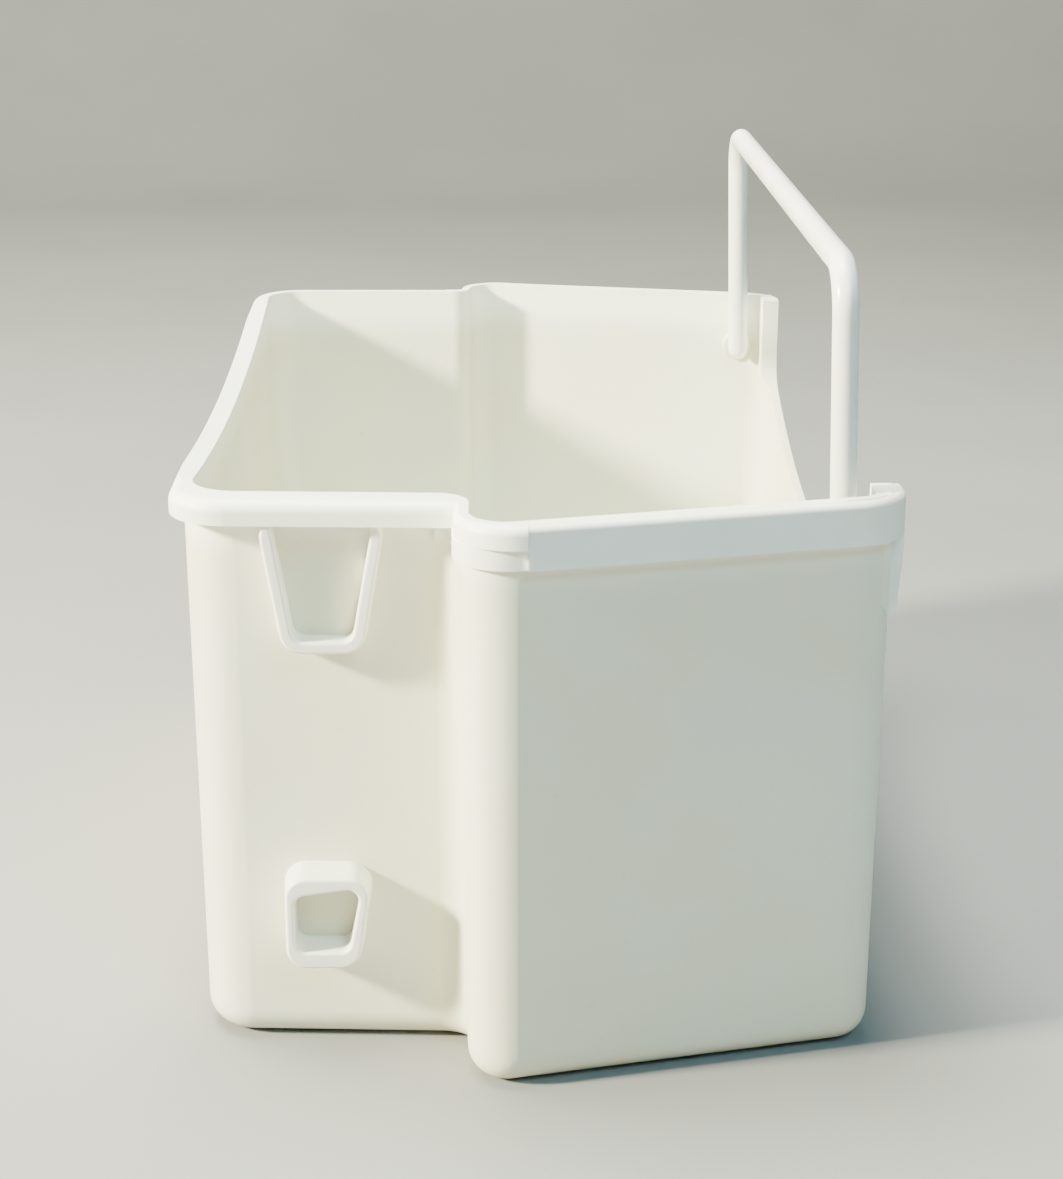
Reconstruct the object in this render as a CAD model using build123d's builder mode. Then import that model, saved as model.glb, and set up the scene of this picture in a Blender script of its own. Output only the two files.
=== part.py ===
"""Stable feed bucket: a moulded tub with a recessed narrow end, two strap sockets and a swinging bail.

Millimetres, +Z up.  The origin is on the ground at the middle of the tub's footprint.
+X points from the narrow end to the end with the neck cut-out, and the bail's axis lies along Y.
"""

from build123d import *
from math import cos, radians, sin, tan
import os

# --- tub ------------------------------------------------------------------------------------
TUB_HEIGHT = 183.0
WALL = 3.0
FLOOR = 3.2
DRAFT = 0.5                 # degrees that every wall leans outwards
BASE_FILLET = 10.0
INNER_BASE_FILLET = 7.0

NARROW_END_X = -106.5       # outer faces at the ground
STEP_X = -22.0
WIDE_END_X = 106.5
NARROW_FRONT_AT_END = 149.3
NARROW_FRONT_AT_STEP = 153.9
NARROW_REAR_AT_END = 171.5
NARROW_REAR_AT_STEP = 169.5
WIDE_AT_STEP = 188.5
WIDE_AT_END = 158.4

# --- rim ------------------------------------------------------------------------------------
LIP_OVERHANG = 3.6          # rim along the narrow end and its rear side
LIP_HEIGHT = 7.5
LIP_ROUNDING = 3.8
LIP_END_X = -31.0           # just before the step
SHELF_OVERHANG = 9.0        # broad rim along the narrow part's front, level with the sockets
SHELF_CORNER = 19.0
SHELF_START_Y = -136.0      # on the narrow end, just before its rim begins to sag
SHELF_END_X = -23.0         # just inside the step's wall
CORNER_LIP_HEIGHT = 7.0     # the rim gets narrower where it turns onto the wide part
CORNER_LIP_ROUNDING = 3.0
CORNER_LIP_SHIFT = 2.0      # and hardly stands out on the side that faces the step
RING_OVERHANG = 2.0         # lower, flatter tier under the corner lip
LEDGE_OVERHANG = 1.1        # what is left of the lip behind a rim band
LEDGE_ROUNDING = 0.6
BAND_START_X = -3.4
BAND_HEIGHT = 13.5
BAND_OVERHANG = 3.6
BAND_ROUNDING = 2.0
BAND_LEG_BOTTOM = 144.0     # the front band runs down the upright edge of the neck cut-out
BAND_LEG_WIDTH = 9.0
BAND_LEG_TAPER = 2.0        # how much less its leg stands out at the bottom
REAR_BAND_END_X = 92.0      # the ledge and the rear band stop before the rear corner
BAND_TOP_GAP = 0.2          # the band stops just short of the rim's top
DIP_DEPTH = 8.5             # sag of the rim along the narrow end
DIP_FRONT_Y = -134.0
DIP_REAR_Y = 157.0

# --- neck cut-out in the wide end --------------------------------------------------------------
CUT_HALF_WIDTH = 144.0
CUT_SHOULDER_Z = 150.5
CUT_LOWEST_Z = 124.5
CUT_CORNER_RADIUS = 14.0
RETURN_INNER_X = 101.6      # the end wall is thicker on either side of the cut-out
RETURN_BOTTOM = 147.0
RETURN_WIDTH = 14.0

# --- strap sockets on the front of the narrow part ------------------------------------------------
UPPER_SOCKET_DEPTH = 9.0    # level with the flange above it
LOWER_SOCKET_DEPTH = 13.0
SOCKET_DRAFT = 4.0          # degrees: each socket is a little wider where it meets the tub
SOCKET_EDGE = 1.0

# --- bail -----------------------------------------------------------------------------------
ROD_RADIUS = 4.0
CORE_RADIUS = 2.5
PIVOT_X = 92.6
PIVOT_Z = 161.0
LEG_Y = 153.3
BAR_HEIGHT = 89.5           # bar centre above the pivot axis
BAIL_BEND = 14.0
BAIL_LEAN = 1.4             # degrees towards the narrow end
PIN_BEND = 4.0
PIN_TIP_Y = 161.4
BORE_CLEARANCE = 0.05
BORE_END_GAP = 0.3
BOSS_RADIUS = 6.0
BOSS_FACE_Y = 157.6
BOSS_EDGE = 0.6

GROWTH = TUB_HEIGHT * tan(radians(DRAFT))    # how much wider the tub is at its rim

# Corners of the footprint with their radii, anticlockwise from the narrow end's front corner.
FOOTPRINT = [
    (NARROW_END_X, -NARROW_FRONT_AT_END, 16.0),
    (STEP_X, -NARROW_FRONT_AT_STEP, 9.0),
    (STEP_X, -WIDE_AT_STEP, 12.5),
    (WIDE_END_X, -WIDE_AT_END, 12.5),
    (WIDE_END_X, WIDE_AT_END, 12.5),
    (STEP_X, WIDE_AT_STEP, 10.4),
    (STEP_X, NARROW_REAR_AT_STEP, 5.6),
    (NARROW_END_X, NARROW_REAR_AT_END, 14.0),
]


def outline(height, growth):
    """The tub's outline at a height, grown outwards from the footprint (or inwards, when negative)."""
    with BuildSketch(Plane.XY.offset(height)) as sketch:
        with BuildLine():
            Polyline([(x, y) for x, y, _ in FOOTPRINT], close=True)
        make_face()
        for x, y, radius in FOOTPRINT:
            fillet(sketch.vertices().sort_by_distance((x, y, height))[0], radius)
        if growth:
            offset(amount=growth)
    return sketch.sketch


def ring(bottom, top, overhang, rounding=0.0):
    """A solid slab of the tub's outline at the rim, standing out from the wall by overhang."""
    with BuildPart() as slab:
        add(outline(bottom, GROWTH + overhang))
        extrude(amount=top - bottom)
        if rounding:
            fillet(slab.faces().sort_by(Axis.Z)[-1].outer_wire().edges(), rounding)
    return slab.part


def cut_profile():
    """Outline of the neck cut-out, seen along X and open at the top."""
    reach = TUB_HEIGHT + 30.0
    with BuildSketch(Plane.YZ) as sketch:
        with BuildLine():
            ThreePointArc((-CUT_HALF_WIDTH, CUT_SHOULDER_Z), (0, CUT_LOWEST_Z), (CUT_HALF_WIDTH, CUT_SHOULDER_Z))
            Polyline(
                (CUT_HALF_WIDTH, CUT_SHOULDER_Z),
                (CUT_HALF_WIDTH, reach),
                (-CUT_HALF_WIDTH, reach),
                (-CUT_HALF_WIDTH, CUT_SHOULDER_Z),
            )
        make_face()
        fillet(sketch.vertices().group_by(Axis.Z)[0], CUT_CORNER_RADIUS)
    return sketch.sketch


def end_block(profile, start_x, end_x):
    """A YZ profile carried along X between two stations."""
    with BuildPart() as block:
        add(profile.moved(Location((start_x, 0, 0))))
        extrude(amount=end_x - start_x, dir=(1, 0, 0))
    return block.part


# --- solids shared by several pieces ---------------------------------------------------------------
with BuildPart() as body_blank:
    add(outline(0, 0))
    add(outline(TUB_HEIGHT, GROWTH))
    loft()
    fillet(body_blank.edges().group_by(Axis.Z)[0], BASE_FILLET)

with BuildPart() as cavity:
    add(outline(FLOOR, -WALL))
    add(outline(TUB_HEIGHT, GROWTH - WALL))
    loft()
    fillet(cavity.edges().group_by(Axis.Z)[0], INNER_BASE_FILLET)


def dip_profile(drop, upwards):
    """The space above (or below) the sagging rim line of the narrow end, seen along X."""
    level = TUB_HEIGHT - drop
    middle = (DIP_FRONT_Y + DIP_REAR_Y) / 2
    far_level = level + 40.0 if upwards else 0.0
    side = 300.0
    with BuildSketch(Plane.YZ) as sketch:
        with BuildLine():
            ThreePointArc((DIP_FRONT_Y, level), (middle, level - DIP_DEPTH), (DIP_REAR_Y, level))
            Polyline(
                (DIP_REAR_Y, level),
                (side, level),
                (side, far_level),
                (-side, far_level),
                (-side, level),
                (DIP_FRONT_Y, level),
            )
        make_face()
    return sketch.sketch


def between(solid, start_x, end_x):
    """The part of a solid that lies between two stations along X."""
    with BuildPart() as piece:
        add(solid)
        split(bisect_by=Plane.YZ.offset(start_x), keep=Keep.TOP)
        split(bisect_by=Plane.YZ.offset(end_x), keep=Keep.BOTTOM)
    return piece.part


far_left = NARROW_END_X - 30.0
far_right = WIDE_END_X + 30.0
lip_bottom = TUB_HEIGHT - LIP_HEIGHT
band_bottom = TUB_HEIGHT - BAND_HEIGHT
corner_bottom = TUB_HEIGHT - CORNER_LIP_HEIGHT
dip_space = end_block(dip_profile(0.0, upwards=True), far_left, LIP_END_X)
neck_space = end_block(cut_profile(), STEP_X, far_right)


# --- tub ------------------------------------------------------------------------------------
with BuildPart() as narrow_lip:
    add(between(ring(lip_bottom - DIP_DEPTH, TUB_HEIGHT, LIP_OVERHANG), far_left, LIP_END_X))
    add(dip_space, mode=Mode.SUBTRACT)
    add(end_block(dip_profile(LIP_HEIGHT, upwards=False), far_left, LIP_END_X), mode=Mode.SUBTRACT)
    upper_edges = narrow_lip.edges().filter_by(lambda edge: edge.center().Z > lip_bottom + 2.0)
    outer_edges = upper_edges.filter_by(
        lambda edge: edge.center().X < NARROW_END_X + 6.0
        or edge.center().Y < -NARROW_FRONT_AT_STEP
        or edge.center().Y > NARROW_REAR_AT_STEP
    )
    fillet(outer_edges, LIP_ROUNDING)
    split(bisect_by=Plane.XZ.offset(-SHELF_START_Y), keep=Keep.BOTTOM)

with BuildPart() as front_shelf:
    shelf_left = NARROW_END_X - GROWTH - LIP_OVERHANG
    shelf_corner_y = -NARROW_FRONT_AT_END - GROWTH - SHELF_OVERHANG
    with BuildSketch(Plane.XY.offset(lip_bottom)) as shelf_plan:
        with BuildLine():
            Polyline(
                (shelf_left, SHELF_START_Y),
                (shelf_left, shelf_corner_y),
                (SHELF_END_X, -NARROW_FRONT_AT_STEP - GROWTH - SHELF_OVERHANG),
                (SHELF_END_X, SHELF_START_Y),
                close=True,
            )
        make_face()
        fillet(shelf_plan.vertices().sort_by_distance((shelf_left, shelf_corner_y, lip_bottom))[0], SHELF_CORNER)
    extrude(amount=LIP_HEIGHT)
    top_edges = front_shelf.faces().sort_by(Axis.Z)[-1].outer_wire().edges()
    fillet(
        top_edges.filter_by(
            lambda edge: edge.center().Y < shelf_corner_y + LIP_OVERHANG
            or edge.center().Y < SHELF_START_Y
            and edge.center().X < shelf_left + SHELF_CORNER
        ),
        LIP_ROUNDING,
    )

with BuildPart() as returns:
    with BuildSketch(Plane.XY.offset(RETURN_BOTTOM)):
        for side in (-1, 1):
            with Locations((RETURN_INNER_X, side * (CUT_HALF_WIDTH - CUT_CORNER_RADIUS))):
                Rectangle(
                    WIDE_END_X - RETURN_INNER_X,
                    CUT_CORNER_RADIUS + RETURN_WIDTH,
                    align=(Align.MIN, Align.MIN if side > 0 else Align.MAX),
                )
    extrude(amount=TUB_HEIGHT - RETURN_BOTTOM)
    chamfer(returns.edges().group_by(Axis.Z)[0].sort_by(Axis.X)[:2], WIDE_END_X - RETURN_INNER_X - 1.0)

with BuildPart() as tub:
    add(body_blank.part)
    add(narrow_lip.part)
    add(front_shelf.part)
    corner_lip = ring(corner_bottom, TUB_HEIGHT, LIP_OVERHANG, CORNER_LIP_ROUNDING)
    add(between(corner_lip.moved(Location((CORNER_LIP_SHIFT, 0, 0))), LIP_END_X, BAND_START_X))
    add(between(ring(band_bottom, corner_bottom, RING_OVERHANG), LIP_END_X, BAND_START_X))
    add(between(ring(band_bottom, TUB_HEIGHT, LEDGE_OVERHANG, LEDGE_ROUNDING), BAND_START_X, REAR_BAND_END_X))
    add(cavity.part, mode=Mode.SUBTRACT)
    add(returns.part)
    add(dip_space, mode=Mode.SUBTRACT)
    add(neck_space, mode=Mode.SUBTRACT)
    for side in (-1, 1):
        bore_start = Plane(origin=(PIVOT_X, side * BOSS_FACE_Y, PIVOT_Z), z_dir=(0, side, 0))
        with BuildSketch(bore_start):
            Circle(CORE_RADIUS + BORE_CLEARANCE)
        extrude(amount=PIN_TIP_Y + BORE_END_GAP - BOSS_FACE_Y, mode=Mode.SUBTRACT)


# --- rim bands along the wide rim; the front one turns the corner and runs down beside the cut-out --------
with BuildPart() as band_leg:
    add(between(ring(BAND_LEG_BOTTOM, band_bottom, BAND_OVERHANG), WIDE_END_X - WALL, far_right))
    split(bisect_by=Plane.XZ.offset(CUT_HALF_WIDTH + BAND_LEG_WIDTH), keep=Keep.BOTTOM)
    split(bisect_by=Plane.XZ.offset(CUT_HALF_WIDTH), keep=Keep.TOP)
    with BuildSketch(Plane.XZ.offset(CUT_HALF_WIDTH)) as taper:
        leg_face_x = WIDE_END_X + GROWTH + BAND_OVERHANG
        with BuildLine():
            Polyline(
                (leg_face_x, band_bottom),
                (leg_face_x - BAND_LEG_TAPER, BAND_LEG_BOTTOM + BAND_LEG_TAPER),
                (leg_face_x - 2 * BAND_LEG_TAPER, BAND_LEG_BOTTOM),
                (leg_face_x, BAND_LEG_BOTTOM),
                close=True,
            )
        make_face()
    extrude(amount=BAND_LEG_WIDTH, mode=Mode.SUBTRACT)


def rim_band(side, end_x):
    """The band on the front (side -1) or the rear (side 1) of the wide rim, as far as end_x."""
    with BuildPart() as band:
        top = TUB_HEIGHT - BAND_TOP_GAP
        add(between(ring(band_bottom, top, BAND_OVERHANG, BAND_ROUNDING), BAND_START_X, end_x))
        if side < 0:
            add(band_leg.part)
        split(bisect_by=Plane.XZ.offset(-side * CUT_HALF_WIDTH), keep=Keep.BOTTOM if side > 0 else Keep.TOP)
        add(body_blank.part, mode=Mode.SUBTRACT)
        add(tub.part, mode=Mode.SUBTRACT)
    return band


front_rim_band = rim_band(-1, far_right)
rear_rim_band = rim_band(1, REAR_BAND_END_X)


# --- strap sockets ----------------------------------------------------------------------------
def socket(depth, mouth, hollow, corner, hollow_corner):
    """A pocket standing out from the narrow part's front wall, from its mouth's two outlines."""
    reach = depth + 2 * WALL
    mouth_plane = Plane.XZ.offset((NARROW_FRONT_AT_STEP + NARROW_FRONT_AT_END) / 2 + depth)
    with BuildPart() as pocket:
        with BuildSketch(mouth_plane) as outside:
            with BuildLine():
                Polyline(mouth, close=True)
            make_face()
            fillet(outside.vertices(), corner)
        extrude(amount=-reach, taper=-SOCKET_DRAFT)
        with BuildSketch(mouth_plane) as inside:
            with BuildLine():
                Polyline(hollow, close=True)
            make_face()
            fillet(inside.vertices(), hollow_corner)
        extrude(amount=-reach, mode=Mode.SUBTRACT)
        mouth_edges = pocket.faces().sort_by(Axis.Y)[0].edges()
        fillet(mouth_edges, SOCKET_EDGE)
        add(body_blank.part, mode=Mode.SUBTRACT)
        add(tub.part, mode=Mode.SUBTRACT)
    return pocket


upper_socket = socket(
    depth=UPPER_SOCKET_DEPTH,
    mouth=[(-84.3, 178.5), (-77.0, 134.8), (-52.9, 134.8), (-45.2, 178.5)],
    hollow=[(-81.2, 184.0), (-73.8, 138.5), (-56.2, 138.5), (-47.8, 184.0)],
    corner=7.0,
    hollow_corner=3.6,
)
lower_socket = socket(
    depth=LOWER_SOCKET_DEPTH,
    mouth=[(-78.6, 62.3), (-78.6, 31.8), (-56.0, 31.8), (-51.6, 62.3)],
    hollow=[(-75.8, 56.0), (-75.8, 37.2), (-59.0, 37.2), (-54.8, 59.0)],
    corner=6.5,
    hollow_corner=3.6,
)


# --- pivot bosses, inside the side walls --------------------------------------------------------------
def pivot_boss(side):
    """A low round boss on the inside of one wall, with the blind bore for the bail's pin."""
    boss_plane = Plane(origin=(PIVOT_X, side * BOSS_FACE_Y, PIVOT_Z), z_dir=(0, side, 0))
    with BuildPart() as boss:
        with BuildSketch(boss_plane):
            Circle(BOSS_RADIUS)
        extrude(amount=2 * WALL)
        fillet(boss.faces().sort_by(Axis.Y)[0 if side > 0 else -1].edges(), BOSS_EDGE)
        with BuildSketch(boss_plane):
            Circle(CORE_RADIUS + BORE_CLEARANCE)
        extrude(amount=2 * WALL, mode=Mode.SUBTRACT)
        add(cavity.part, mode=Mode.INTERSECT)
    return boss


front_pivot_boss = pivot_boss(-1)
rear_pivot_boss = pivot_boss(1)

# --- bail: a steel core in a plastic coat, drawn in its own leaning plane -------------------------------
lean = radians(BAIL_LEAN)
bail_plane = Plane(origin=(PIVOT_X, 0, PIVOT_Z), x_dir=(0, 1, 0), z_dir=(cos(lean), 0, sin(lean)))

with BuildPart() as bail_core:
    with BuildLine(bail_plane) as wire:
        FilletPolyline(
            (-PIN_TIP_Y, 0),
            (-LEG_Y, 0),
            (-LEG_Y, BAR_HEIGHT),
            (LEG_Y, BAR_HEIGHT),
            (LEG_Y, 0),
            (PIN_TIP_Y, 0),
            radius=[PIN_BEND, BAIL_BEND, BAIL_BEND, PIN_BEND],
        )
    with BuildSketch(Plane(origin=wire.line @ 0, z_dir=wire.line % 0)):
        Circle(CORE_RADIUS)
    sweep(path=wire.line)

with BuildPart() as bail_coating:
    with BuildLine(bail_plane) as rod:
        FilletPolyline(
            (-LEG_Y, 0),
            (-LEG_Y, BAR_HEIGHT),
            (LEG_Y, BAR_HEIGHT),
            (LEG_Y, 0),
            radius=BAIL_BEND,
        )
    with BuildSketch(Plane(origin=rod.line @ 0, z_dir=rod.line % 0)):
        Circle(ROD_RADIUS)
    sweep(path=rod.line)
    with Locations((PIVOT_X, -LEG_Y, PIVOT_Z), (PIVOT_X, LEG_Y, PIVOT_Z)):
        Sphere(ROD_RADIUS)
    add(bail_core.part, mode=Mode.SUBTRACT)

# --- output -----------------------------------------------------------------------------------
PIECES = {
    "tub": tub,
    "front_rim_band": front_rim_band,
    "rear_rim_band": rear_rim_band,
    "upper_socket": upper_socket,
    "lower_socket": lower_socket,
    "front_pivot_boss": front_pivot_boss,
    "rear_pivot_boss": rear_pivot_boss,
    "bail_core": bail_core,
    "bail_coating": bail_coating,
}

os.makedirs("parts", exist_ok=True)
for node_name, piece in PIECES.items():
    piece.part.label = node_name
    export_step(piece.part, f"parts/{node_name}.step")
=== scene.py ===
"""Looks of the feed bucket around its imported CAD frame: materials, floor, studio light and camera.

Metres, +Z up, in the same frame as the CAD part.
"""

from math import cos, pi, radians, sin

import bpy
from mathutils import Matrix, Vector


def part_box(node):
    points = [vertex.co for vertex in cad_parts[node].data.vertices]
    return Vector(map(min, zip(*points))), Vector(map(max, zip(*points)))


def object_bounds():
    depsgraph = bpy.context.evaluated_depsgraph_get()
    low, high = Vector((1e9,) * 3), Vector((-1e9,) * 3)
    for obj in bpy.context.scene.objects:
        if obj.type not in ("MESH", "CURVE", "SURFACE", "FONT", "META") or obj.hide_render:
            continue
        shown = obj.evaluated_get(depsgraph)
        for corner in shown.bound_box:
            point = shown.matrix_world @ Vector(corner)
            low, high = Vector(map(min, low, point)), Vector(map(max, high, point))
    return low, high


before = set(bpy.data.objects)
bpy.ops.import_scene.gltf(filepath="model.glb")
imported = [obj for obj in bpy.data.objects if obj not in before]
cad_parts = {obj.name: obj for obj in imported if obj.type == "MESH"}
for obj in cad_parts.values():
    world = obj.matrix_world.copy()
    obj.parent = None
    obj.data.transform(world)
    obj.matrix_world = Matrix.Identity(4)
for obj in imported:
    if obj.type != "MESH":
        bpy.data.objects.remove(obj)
cad_low, cad_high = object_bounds()

MM = 0.001

# Colours are linear RGB.
TUB_COLOUR = (0.81, 0.785, 0.62)
TUB_COLOUR_COOL = (0.76, 0.78, 0.67)
# The band's plastic is painted lighter than the tub's: painted light, for its upward-tilted face
# catching the overhead light.
BAND_PAINTED_LIGHT_COLOUR = (0.96, 0.96, 0.91)
BAND_PAINTED_LIGHT_COLOUR_COOL = (0.93, 0.94, 0.91)
# The sockets' plastic is painted lighter than the tub's: painted light, for their faces lit by the
# key light.
SOCKET_PAINTED_LIGHT_COLOUR = (0.94, 0.93, 0.85)
SOCKET_PAINTED_LIGHT_COLOUR_COOL = (0.90, 0.90, 0.85)
BAIL_COLOUR = (0.92, 0.91, 0.86)
BAIL_COLOUR_COOL = (0.87, 0.88, 0.85)
# A paler white painted along the top of the tub: a painted highlight where the rim catches the
# light.
RIM_PAINTED_HIGHLIGHT_COLOUR = (0.96, 0.96, 0.88)
YELLOWED_COLOUR = (0.80, 0.68, 0.50)
SCUFF_COLOUR = (0.50, 0.47, 0.41)
STEEL_LIGHT = (0.60, 0.61, 0.63)
STEEL_DARK = (0.38, 0.385, 0.40)
FLOOR_COLOUR = (0.25, 0.25, 0.248)
FLOOR_COLOUR_DARK = (0.23, 0.23, 0.228)

# Noise patterns. The scale is in features per metre.
CLOUDS = {"scale": 7.0, "detail": 2.0}
YELLOWING = {"scale": 13.0, "detail": 3.0, "roughness": 0.6}
RAGGEDNESS = {"scale": 55.0, "detail": 5.0, "roughness": 0.7}
FLECKS = {"scale": 210.0, "detail": 4.0, "roughness": 0.75}
SPECKS = {"scale": 330.0, "detail": 2.0}
SHEEN_PATCHES = {"scale": 18.0, "detail": 3.0}
ORANGE_PEEL = {"scale": 900.0, "detail": 2.0, "roughness": 0.5}
SCRATCHES = {"scale": 60.0, "detail": 4.0}
WAVINESS = {"scale": 22.0, "detail": 1.0}
STEEL_STREAKS = {"scale": 420.0, "detail": 4.0, "roughness": 0.7}
FLOOR_CLOUDS = {"scale": 2.5, "detail": 3.0}
FLOOR_SHEEN = {"scale": 9.0}
FLOOR_GRAIN = {"scale": 160.0, "detail": 4.0}

# The part of a noise's values, 0 to 1, over which its pattern fades in.
WIDE_SPAN = (0.3, 0.7)
CLOUD_SPAN = (0.35, 0.65)
YELLOWING_SPAN = (0.46, 0.70)
FLECK_SPAN = (0.60, 0.72)
SPECK_SPAN = (0.70, 0.76)
SCRATCH_SPAN = (0.62, 0.70)

# How strong each pattern is in the colour.
YELLOWING_STRENGTH = 0.34
WEAR_STRENGTH = (0.12, 0.55)     # between the flecks and on them
SPECK_STRENGTH = 0.16

# Scales along X, Y and Z that draw a pattern out into lines.
SCRATCH_STRETCH = (1.0, 1.0, 9.0)
STREAK_STRETCH = (1.0, 0.08, 1.0)

# Bumps: depth and strength.
ORANGE_PEEL_BUMP = (0.05 * MM, 0.30)
SCRATCH_BUMP = (0.03 * MM, 0.25)
WAVINESS_BUMP = (0.9 * MM, 0.10)
STEEL_BUMP = (0.05 * MM, 0.3)
FLOOR_BUMP = (0.3 * MM, 0.15)

# Heights of the worn bands and of the painted highlight.
OVER_EVERYTHING = 1.0            # a height that no piece reaches
RUB_DEPTH = 12 * MM
RUB_FULL_DEPTH = 4 * MM
RAGGED_DEPTH = 12 * MM
# The painted highlight along the top of the tub: the height over which it fades in, and how far
# below the rim it is full.
RIM_PAINTED_HIGHLIGHT_FADE = 16 * MM
RIM_PAINTED_HIGHLIGHT_DEPTH = 7 * MM

# Roughness.
TUB_ROUGHNESS = 0.36
BAND_ROUGHNESS = 0.32
SOCKET_ROUGHNESS = 0.34
BAIL_ROUGHNESS = 0.26
SHEEN_PATCH_LOWER = 0.05
SHEEN_PATCH_HIGHER = 0.07
RUBBED_ROUGHER = 0.16
STEEL_ROUGHNESS = (0.28, 0.46)
FLOOR_ROUGHNESS = (0.60, 0.72)

# Light inside the plastic.
PLASTIC_IOR = 1.49
SCATTER_WEIGHT = 0.12
SCATTER_DEPTH = 4 * MM
SCATTER_RADIUS = (1.0, 0.85, 0.65)

# The floor, which curves up into a wall behind the bucket.
FLOOR_HALF_WIDTH = 4.0
FLOOR_FRONT_Y = -2.5
BEND_START_Y = 1.6
BEND_RADIUS = 0.9
BEND_STEPS = 24
WALL_TOP = 3.2

# Camera: a long lens in front of the bucket, above the rim and looking down into it.
CAMERA_PLACE = (-0.0177, -0.8582, 0.3784)
CAMERA_PITCH = 17.75             # degrees down
CAMERA_YAW = 1.30                # degrees towards +X
CAMERA_LENS = 82.6
SENSOR_WIDTH = 36.0
CAMERA_NEAREST = 0.02

# Lights. The key light comes from KEY_FROM, seen from the bucket.
KEY_FROM = Vector((-3.2, -1.0, 1.5)).normalized()
KEY_DISTANCE = 2.2
KEY_SIZE = 0.26
KEY_POWER = 290.0
KEY_COLOUR = (1.0, 0.94, 0.68)
FILL_PLACE = (0.75, -1.6, 1.9)
FILL_SIZE = 1.0
FILL_POWER = 40.0
FILL_COLOUR = (0.47, 0.86, 1.0)
OVERHEAD_PLACE = (-0.25, 0.1, 1.7)
OVERHEAD_SIZE = 0.9
OVERHEAD_POWER = 100.0
OVERHEAD_COLOUR = (1.0, 1.0, 0.86)
WORLD_COLOUR = (0.62, 0.93, 1.0)
WORLD_STRENGTH = 0.10

# The Mix node's colour sockets, which share their names with its other sockets.
MIX_FIRST = 6
MIX_SECOND = 7
MIX_RESULT = 2


# --- node helpers ------------------------------------------------------------------------------
class Shader:
    """A node tree with one Principled shader, and short ways to add nodes to it."""

    def __init__(self, name):
        self.material = bpy.data.materials.new(name)
        self.material.use_nodes = True
        self.tree = self.material.node_tree
        self.surface = self.tree.nodes["Principled BSDF"]
        self.place = self.add("ShaderNodeTexCoord").outputs["Object"]

    def add(self, kind, **settings):
        node = self.tree.nodes.new(kind)
        for name, value in settings.items():
            setattr(node, name, value)
        return node

    def link(self, output, socket):
        self.tree.links.new(output, socket)

    def feed(self, output, name):
        """Gives one of the surface's inputs, by name, a node's output."""
        self.link(output, self.surface.inputs[name])

    def set(self, name, value):
        """Gives one of the surface's inputs, by name, one value."""
        self.surface.inputs[name].default_value = value

    def stretched(self, scale):
        """The object's own coordinates, scaled differently along each axis."""
        mapping = self.add("ShaderNodeMapping")
        mapping.inputs["Scale"].default_value = scale
        self.link(self.place, mapping.inputs["Vector"])
        return mapping.outputs["Vector"]

    def noise(self, scale, detail=3.0, roughness=0.55, place=None):
        node = self.add("ShaderNodeTexNoise")
        node.inputs["Scale"].default_value = scale
        node.inputs["Detail"].default_value = detail
        node.inputs["Roughness"].default_value = roughness
        self.link(place or self.place, node.inputs["Vector"])
        return node.outputs["Fac"]

    def remap(self, value, low, high, to_low=0.0, to_high=1.0):
        """The value, with low to high turned smoothly into to_low to to_high."""
        node = self.add("ShaderNodeMapRange", interpolation_type="SMOOTHSTEP")
        node.inputs["From Min"].default_value = low
        node.inputs["From Max"].default_value = high
        node.inputs["To Min"].default_value = to_low
        node.inputs["To Max"].default_value = to_high
        self.link(value, node.inputs["Value"])
        return node.outputs["Result"]

    def math(self, operation, first, second):
        """One operation on two values, each given as a number or as a node's output."""
        node = self.add("ShaderNodeMath", operation=operation)
        for socket, value in zip(node.inputs, (first, second)):
            if isinstance(value, float):
                socket.default_value = value
            else:
                self.link(value, socket)
        return node.outputs["Value"]

    def mix(self, factor, first, second):
        """A blend of two colours, each given as numbers or as a node's output."""
        node = self.add("ShaderNodeMix", data_type="RGBA")
        self.link(factor, node.inputs["Factor"])
        for index, value in ((MIX_FIRST, first), (MIX_SECOND, second)):
            if isinstance(value, tuple):
                node.inputs[index].default_value = (*value, 1.0)
            else:
                self.link(value, node.inputs[index])
        return node.outputs[MIX_RESULT]

    def bump(self, height, distance, strength, normal=None):
        """A surface normal with one more bump pattern, on top of an earlier one if it is given."""
        node = self.add("ShaderNodeBump")
        node.inputs["Distance"].default_value = distance
        node.inputs["Strength"].default_value = strength
        self.link(height, node.inputs["Height"])
        if normal is not None:
            self.link(normal, node.inputs["Normal"])
        return node.outputs["Normal"]

    def height_above_ground(self):
        split = self.add("ShaderNodeSeparateXYZ")
        self.link(self.place, split.inputs["Vector"])
        return split.outputs["Z"]


# --- moulded plastic ---------------------------------------------------------------------------
def aged_tint_with_painted_highlight(shader, colour, cool_colour, painted_highlight_above):
    """A cloudy colour that is yellowed in patches, and painted paler towards the given height: a
    painted highlight along the top.
    """
    clouds = shader.remap(shader.noise(**CLOUDS), *CLOUD_SPAN)
    tint = shader.mix(clouds, colour, cool_colour)
    yellowing = shader.remap(shader.noise(**YELLOWING), *YELLOWING_SPAN, 0.0, YELLOWING_STRENGTH)
    tint = shader.mix(yellowing, tint, YELLOWED_COLOUR)
    height = shader.height_above_ground()
    # Painted highlight: paler towards the top of the tub.
    rim_painted_highlight = shader.remap(height, painted_highlight_above - RIM_PAINTED_HIGHLIGHT_FADE, painted_highlight_above)
    return shader.mix(rim_painted_highlight, tint, RIM_PAINTED_HIGHLIGHT_COLOUR)


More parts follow.
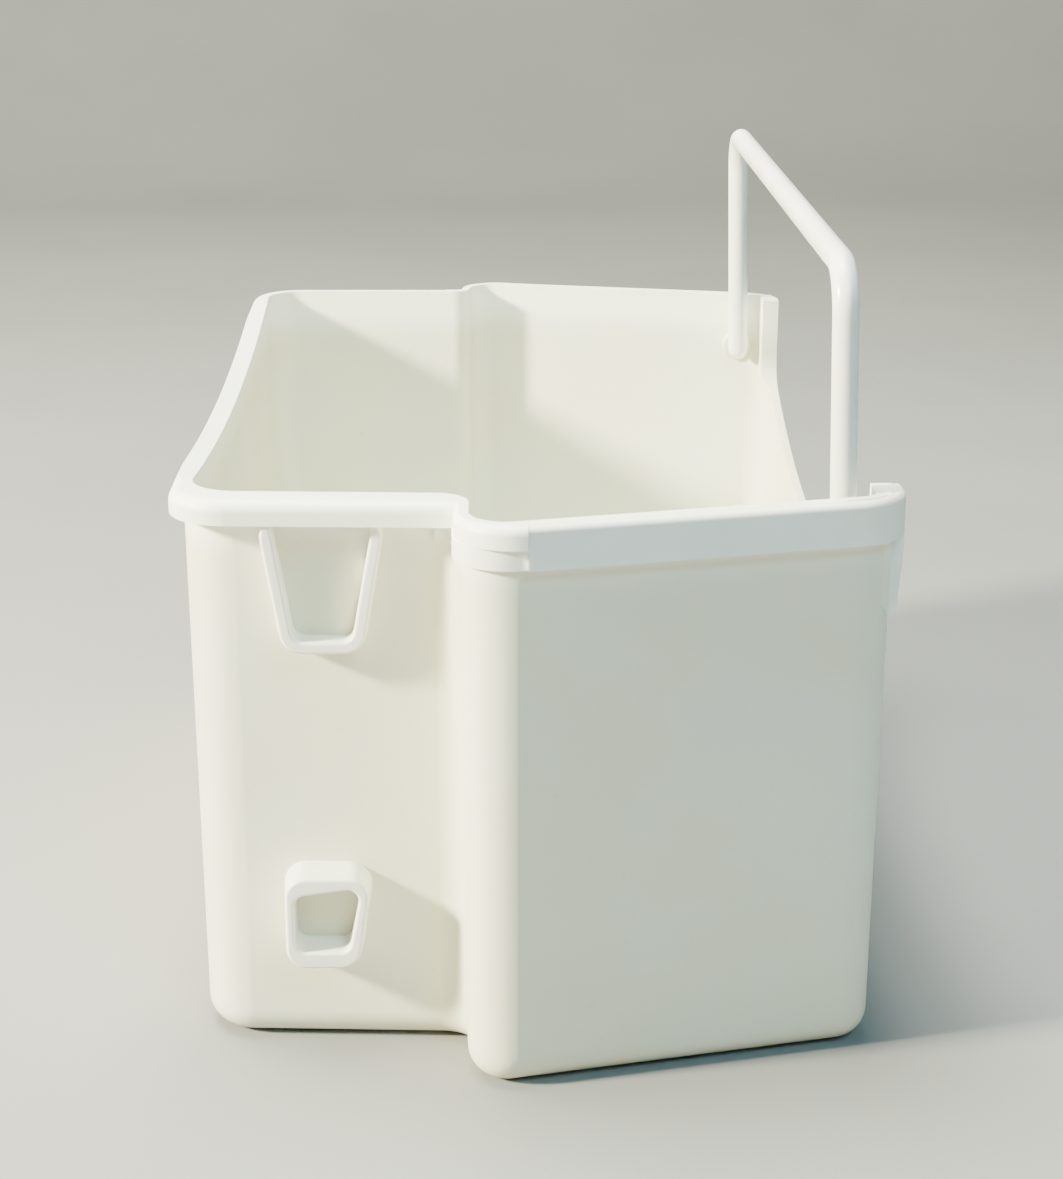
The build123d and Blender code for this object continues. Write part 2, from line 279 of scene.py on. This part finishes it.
def rubbed_bands(shader, top):
    """How rubbed the surface is, 0 to 1: in ragged bands next to the ground and next to the top."""
    height = shader.height_above_ground()
    ragged = shader.math("MULTIPLY", shader.noise(**RAGGEDNESS), RAGGED_DEPTH)
    raised = shader.math("ADD", height, ragged)
    lowered = shader.math("SUBTRACT", height, ragged)
    low_band = shader.remap(raised, RUB_DEPTH, 0.0)
    high_band = shader.remap(lowered, top - RUB_DEPTH, top - RUB_FULL_DEPTH)
    return shader.math("MAXIMUM", low_band, high_band)


def scuffed(shader, tint, rubbed):
    """The tint with dark flecks where it is rubbed, and a few specks everywhere."""
    flecks = shader.remap(shader.noise(**FLECKS), *FLECK_SPAN)
    worn = shader.math("MULTIPLY", rubbed, shader.remap(flecks, 0.0, 1.0, *WEAR_STRENGTH))
    specks = shader.remap(shader.noise(**SPECKS), *SPECK_SPAN)
    specks = shader.math("MULTIPLY", specks, SPECK_STRENGTH)
    return shader.mix(shader.math("MAXIMUM", worn, specks), tint, SCUFF_COLOUR)


def patchy_sheen(shader, roughness, rubbed):
    """A roughness that varies in soft patches, and is duller where the surface is rubbed."""
    smoothest = roughness - SHEEN_PATCH_LOWER
    roughest = roughness + SHEEN_PATCH_HIGHER
    patches = shader.remap(shader.noise(**SHEEN_PATCHES), *WIDE_SPAN, smoothest, roughest)
    return shader.math("ADD", patches, shader.math("MULTIPLY", rubbed, RUBBED_ROUGHER))


def moulded_skin(shader):
    """A surface with fine orange peel, faint level scratches, and slow waves."""
    orange_peel = shader.noise(**ORANGE_PEEL)
    lines = shader.noise(**SCRATCHES, place=shader.stretched(SCRATCH_STRETCH))
    scratches = shader.remap(lines, *SCRATCH_SPAN)
    normal = shader.bump(orange_peel, *ORANGE_PEEL_BUMP)
    normal = shader.bump(scratches, *SCRATCH_BUMP, normal)
    return shader.bump(shader.noise(**WAVINESS), *WAVINESS_BUMP, normal)


def moulded_plastic(
    name, colour, cool_colour, roughness, top=OVER_EVERYTHING, painted_highlight_above=OVER_EVERYTHING
):
    """Semi-matt plastic that is rubbed duller next to the ground and next to the height top, and
    painted paler towards the top: a painted highlight.
    """
    shader = Shader(name)
    tint = aged_tint_with_painted_highlight(shader, colour, cool_colour, painted_highlight_above)
    rubbed = rubbed_bands(shader, top)
    shader.feed(scuffed(shader, tint, rubbed), "Base Color")
    shader.feed(patchy_sheen(shader, roughness, rubbed), "Roughness")
    shader.feed(moulded_skin(shader), "Normal")
    shader.set("IOR", PLASTIC_IOR)
    shader.set("Subsurface Weight", SCATTER_WEIGHT)
    shader.set("Subsurface Scale", SCATTER_DEPTH)
    shader.set("Subsurface Radius", SCATTER_RADIUS)
    return shader.material


# --- steel and floor ---------------------------------------------------------------------------
def drawn_steel(name):
    """Drawn wire: dull grey with fine brighter streaks along the bail's bar."""
    shader = Shader(name)
    streaks = shader.noise(**STEEL_STREAKS, place=shader.stretched(STREAK_STRETCH))
    shader.feed(shader.mix(streaks, STEEL_DARK, STEEL_LIGHT), "Base Color")
    shader.feed(shader.remap(streaks, *WIDE_SPAN, *STEEL_ROUGHNESS), "Roughness")
    shader.feed(shader.bump(streaks, *STEEL_BUMP), "Normal")
    shader.set("Metallic", 1.0)
    return shader.material


def studio_floor(name):
    """Pale matt paint with faint clouds and a fine grain."""
    shader = Shader(name)
    clouds = shader.remap(shader.noise(**FLOOR_CLOUDS), *WIDE_SPAN)
    shader.feed(shader.mix(clouds, FLOOR_COLOUR, FLOOR_COLOUR_DARK), "Base Color")
    sheen = shader.remap(shader.noise(**FLOOR_SHEEN), *WIDE_SPAN, *FLOOR_ROUGHNESS)
    shader.feed(sheen, "Roughness")
    shader.feed(shader.bump(shader.noise(**FLOOR_GRAIN), *FLOOR_BUMP), "Normal")
    return shader.material


# --- materials onto the CAD nodes ----------------------------------------------------------------
def paint(node_names, material):
    """Gives CAD nodes one material."""
    for node_name in node_names:
        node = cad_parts[node_name]
        for material_slot in node.material_slots:
            material_slot.material = material


def dress_nodes():
    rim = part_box("tub")[1].z
    bail_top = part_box("bail_coating")[1].z
    # The tub's top gets the painted highlight.
    tub_plastic = moulded_plastic(
        "tub_plastic", TUB_COLOUR, TUB_COLOUR_COOL, TUB_ROUGHNESS, rim, rim - RIM_PAINTED_HIGHLIGHT_DEPTH
    )
    # The band: a lighter copy of the tub's plastic, painted light.
    band_plastic = moulded_plastic(
        "band_plastic", BAND_PAINTED_LIGHT_COLOUR, BAND_PAINTED_LIGHT_COLOUR_COOL, BAND_ROUGHNESS, rim
    )
    # The sockets: a lighter copy of the tub's plastic, painted light.
    socket_plastic = moulded_plastic(
        "socket_plastic", SOCKET_PAINTED_LIGHT_COLOUR, SOCKET_PAINTED_LIGHT_COLOUR_COOL, SOCKET_ROUGHNESS
    )
    bail_plastic = moulded_plastic(
        "bail_plastic", BAIL_COLOUR, BAIL_COLOUR_COOL, BAIL_ROUGHNESS, bail_top
    )
    paint(["tub", "front_pivot_boss", "rear_pivot_boss"], tub_plastic)
    paint(["front_rim_band", "rear_rim_band"], band_plastic)
    paint(["upper_socket", "lower_socket"], socket_plastic)
    paint(["bail_coating"], bail_plastic)
    paint(["bail_core"], drawn_steel("bail_steel"))


# --- floor, light and camera ---------------------------------------------------------------------
def floor_profile():
    """The floor's side view, as (y, z) points: flat, then a quarter circle, then a wall."""
    profile = [(FLOOR_FRONT_Y, 0.0)]
    for step in range(BEND_STEPS + 1):
        angle = step / BEND_STEPS * pi / 2
        y = BEND_START_Y + BEND_RADIUS * sin(angle)
        z = BEND_RADIUS * (1.0 - cos(angle))
        profile.append((y, z))
    profile.append((BEND_START_Y + BEND_RADIUS, WALL_TOP))
    return profile


def lay_floor():
    profile = floor_profile()
    vertices = [(x, y, z) for y, z in profile for x in (-FLOOR_HALF_WIDTH, FLOOR_HALF_WIDTH)]
    faces = [(2 * i, 2 * i + 1, 2 * i + 3, 2 * i + 2) for i in range(len(profile) - 1)]
    mesh = bpy.data.meshes.new("studio_floor")
    mesh.from_pydata(vertices, [], faces)
    mesh.shade_smooth()
    mesh.materials.append(studio_floor("floor_paint"))
    floor = bpy.data.objects.new("studio_floor", mesh)
    bpy.context.scene.collection.objects.link(floor)


def add_area_light(name, place, target, size, power, colour):
    """A round soft light at place, turned towards target."""
    light = bpy.data.lights.new(name, "AREA")
    light.shape = "DISK"
    light.size = size
    light.energy = power
    light.color = colour
    lamp = bpy.data.objects.new(name, light)
    lamp.location = place
    lamp.rotation_euler = (Vector(target) - Vector(place)).to_track_quat("-Z", "Y").to_euler()
    bpy.context.scene.collection.objects.link(lamp)


def light_studio():
    middle = (cad_low + cad_high) / 2
    key_place = middle + KEY_FROM * KEY_DISTANCE
    add_area_light("key_light", key_place, middle, KEY_SIZE, KEY_POWER, KEY_COLOUR)
    add_area_light("fill_light", FILL_PLACE, middle, FILL_SIZE, FILL_POWER, FILL_COLOUR)
    add_area_light(
        "overhead_light", OVERHEAD_PLACE, middle, OVERHEAD_SIZE, OVERHEAD_POWER, OVERHEAD_COLOUR
    )
    world = bpy.data.worlds.new("studio_air")
    world.use_nodes = True
    background = world.node_tree.nodes["Background"]
    background.inputs["Color"].default_value = (*WORLD_COLOUR, 1.0)
    background.inputs["Strength"].default_value = WORLD_STRENGTH
    bpy.context.scene.world = world


def place_camera():
    data = bpy.data.cameras.new("camera")
    data.sensor_fit = "HORIZONTAL"
    data.sensor_width = SENSOR_WIDTH
    data.lens = CAMERA_LENS
    data.clip_start = CAMERA_NEAREST
    camera = bpy.data.objects.new("camera", data)
    camera.location = CAMERA_PLACE
    camera.rotation_euler = (radians(90.0 - CAMERA_PITCH), 0.0, radians(-CAMERA_YAW))
    bpy.context.scene.collection.objects.link(camera)
    bpy.context.scene.camera = camera


dress_nodes()
lay_floor()
light_studio()
place_camera()
